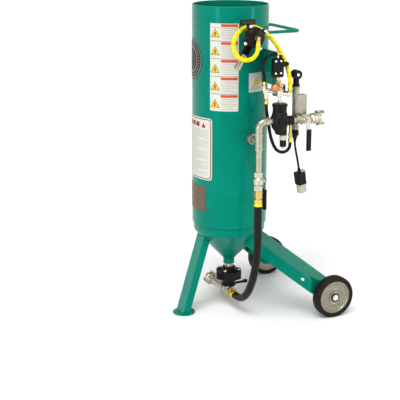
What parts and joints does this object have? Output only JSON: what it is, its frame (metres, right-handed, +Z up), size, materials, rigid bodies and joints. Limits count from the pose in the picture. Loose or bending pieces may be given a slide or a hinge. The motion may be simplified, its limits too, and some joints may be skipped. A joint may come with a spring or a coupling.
{
  "type": "abrasive blast pot",
  "caption": "Portable abrasive blast pot: upright pressure vessel on a front leg and two wheels, with air piping, valves, hoses and a push handle.",
  "frame": {"origin": "on the floor at the middle of the footprint box, between the front pad and the wheels", "axes": "+Z up, -Y towards the front leg, +Y towards the wheels and push handle, +X on the side that carries the air piping"},
  "size_m": [0.748, 0.7856, 1.477],
  "materials": {
    "teal_paint": "gloss teal-green paint",
    "galvanised_steel": "warm zinc-plated steel pipe",
    "plated_valve_body": "nickel-plated valve body",
    "chrome_ball": "polished",
    "lever_steel_and_vinyl": "steel handle with a black dipped grip",
    "cast_coupling": "zinc-plated malleable iron",
    "black_valve_body": "satin black coating",
    "black_lever": "satin black",
    "black_plastic": "fine matte",
    "brass": "machined",
    "yellow_ferrule": "bright yellow-plated crimp collar",
    "silver_fitting": "nickel-plated",
    "bronze": "sintered bronze",
    "zinc_screw": "bright zinc",
    "tyre_rubber": "matte solid rubber",
    "wheel_disc": "zinc-grey pressed steel",
    "bush_bronze": "plain bearing bronze",
    "seal_rubber": "moulded",
    "conduit_grey": "cast, grey",
    "nameplate": "etched plate",
    "tag_black": "blank",
    "filter_body": "cream cap on a black body",
    "pusher_hose_rubber": "satin rubber cover",
    "yellow_hose": "smooth cover",
    "black_hose": "smooth cover",
    "cord_jacket": "round jacket",
    "plug_plastic": "black body with a pale face and clamp"
  },
  "bodies": {
    "pot": {"air_coupling": "cast_coupling", "air_valve_body": "plated_valve_body", "axle_bolts": "zinc_screw", "blast_coupling": "cast_coupling", "bleed_filter": "filter_body", "bottom_head": "teal_paint", "branch_union": "galvanised_steel", "bronze_muffler": "bronze", "choke_valve_body": "plated_valve_body", "collar": "teal_paint", "conduit_body": "conduit_grey", "control_bracket": "teal_paint", "cord_grips": "black_plastic", "data_plate": "nameplate", "exhaust_pipe": "galvanised_steel", "exhaust_valve_body": "black_valve_body", "exhaust_valve_cap": "black_valve_body", "foot_pad": "teal_paint", "front_leg": "teal_paint", "gaskets": "seal_rubber", "hose_ends": "brass", "hose_ferrules": "yellow_ferrule", "inlet_tee": "galvanised_steel", "inlet_valve_body": "black_valve_body", "loop_hose": "black_hose", "media_valve_body": "black_valve_body", "mixing_tee": "galvanised_steel", "pigtail_cord": "cord_jacket", "pipe_nipples": "galvanised_steel", "plug": "plug_plastic", "popup_pipe": "galvanised_steel", "port_ring": "teal_paint", "pressure_shell": "teal_paint", "push_handle": "teal_paint", "pusher_hose": "pusher_hose_rubber", "rear_leg_left": "teal_paint", "rear_leg_right": "teal_paint", "riser_elbow": "galvanised_steel", "screws_and_bolts": "zinc_screw", "signal_manifold": "silver_fitting", "solenoid_block": "black_plastic", "supply_hose": "black_hose", "top_head": "teal_paint", "valve_tag": "tag_black", "vent_hose": "yellow_hose", "vessel_bosses": "teal_paint"},
    "wheel_right": {"tyre_right": "tyre_rubber", "rim_right": "wheel_disc", "bush_right": "bush_bronze"},
    "wheel_left": {"tyre_left": "tyre_rubber", "rim_left": "wheel_disc", "bush_left": "bush_bronze"},
    "choke_handle": {"choke_valve_lever": "lever_steel_and_vinyl", "choke_valve_ball": "chrome_ball"},
    "air_handle": {"air_valve_lever": "lever_steel_and_vinyl", "air_valve_ball": "chrome_ball"},
    "media_handle": {"media_valve_lever": "black_lever"},
    "petcock_handle": {"petcock_lever": "black_lever"},
    "popup": {"popup_plunger": "seal_rubber"},
    "inlet_piston": {"inlet_valve_piston": "brass"}
  },
  "joints": [
    {"name": "right_wheel_spin", "type": "hinge", "parent": "pot", "child": "wheel_right", "pos_m": [0.34, 0.2912, 0.1016], "axis": [1, 0, 0], "continuous": true},
    {"name": "left_wheel_spin", "type": "hinge", "parent": "pot", "child": "wheel_left", "pos_m": [-0.34, 0.2912, 0.1016], "axis": [1, 0, 0], "continuous": true},
    {"name": "choke_lever_turn", "type": "hinge", "parent": "pot", "child": "choke_handle", "pos_m": [0.3, -0.0988, 0.7025], "axis": [0, -1, 0], "range_deg": [0, 90]},
    {"name": "air_lever_turn", "type": "hinge", "parent": "pot", "child": "air_handle", "pos_m": [0.3, 0.1262, 0.971], "axis": [1, 0, 0], "range_deg": [0, 90]},
    {"name": "media_lever_turn", "type": "hinge", "parent": "pot", "child": "media_handle", "pos_m": [0, -0.0988, 0.112], "axis": [0, 0, 1], "range_deg": [0, 90]},
    {"name": "petcock_turn", "type": "hinge", "parent": "pot", "child": "petcock_handle", "pos_m": [0.324, 0.0114, 1.126], "axis": [0.9578, 0.2873, 0], "range_deg": [0, 90]},
    {"name": "popup_rise", "type": "slide", "parent": "pot", "child": "popup", "axis": [0, 0, 1], "range_m": [0, 0.037]},
    {"name": "inlet_piston_lift", "type": "slide", "parent": "pot", "child": "inlet_piston", "axis": [0, 0, 1], "range_m": [0, 0.01]}
  ]
}
